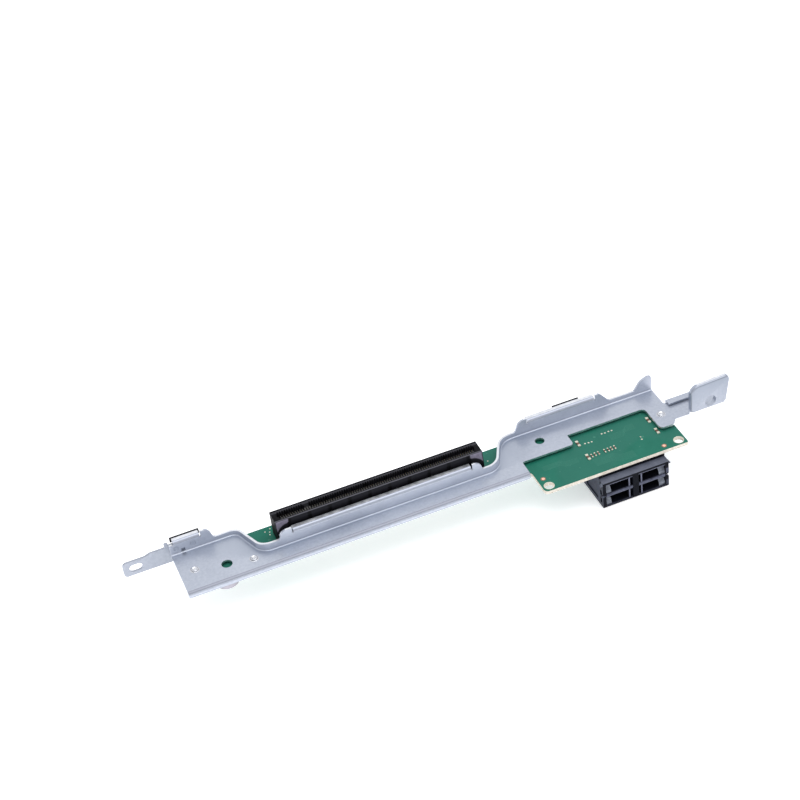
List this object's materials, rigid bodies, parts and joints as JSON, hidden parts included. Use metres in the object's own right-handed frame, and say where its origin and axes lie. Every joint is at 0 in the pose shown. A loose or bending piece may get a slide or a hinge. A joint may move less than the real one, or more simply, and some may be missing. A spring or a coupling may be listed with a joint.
{
  "type": "server riser card",
  "caption": "Server riser card: circuit board with a long keyed card slot and stacked cable ports, fixed under a folded sheet bracket with a lip, a side strap and a finger grip.",
  "frame": {"origin": "centre of the card slot at the circuit board's top face", "axes": "+X along the slot towards the grip, +Y towards the folded back wall, +Z out of the slot's mouth, square to the board"},
  "size_m": [0.2567, 0.0423, 0.032],
  "materials": {
    "plated_sheet": "zinc-plated, satin",
    "plated_fastener": "bright plated",
    "board_laminate": "green solder mask",
    "slot_plastic": "black moulded",
    "port_plastic": "blue-black moulded",
    "carrier_plastic": "dark moulded",
    "contact_metal": "gold-plated",
    "foot_metal": "turned",
    "pad_rubber": "black strip",
    "capacitor_ceramic": "tan ceramic",
    "solder_metal": "tinned"
  },
  "bodies": {
    "root": {"bracket": "plated_sheet", "side_strap": "plated_sheet", "strap_rivets": "plated_fastener", "board": "board_laminate", "slot_housing": "slot_plastic", "front_contacts": "contact_metal", "back_contacts": "contact_metal", "port_housing": "port_plastic", "upper_carriers": "carrier_plastic", "lower_carriers": "carrier_plastic", "upper_contacts": "contact_metal", "lower_contacts": "contact_metal", "standoffs": "plated_fastener", "board_screws": "plated_fastener", "support_foot": "foot_metal", "foot_screw": "plated_fastener", "left_pad": "pad_rubber", "right_pad": "pad_rubber", "capacitors": "capacitor_ceramic", "capacitor_ends": "solder_metal"}
  },
  "joints": []
}
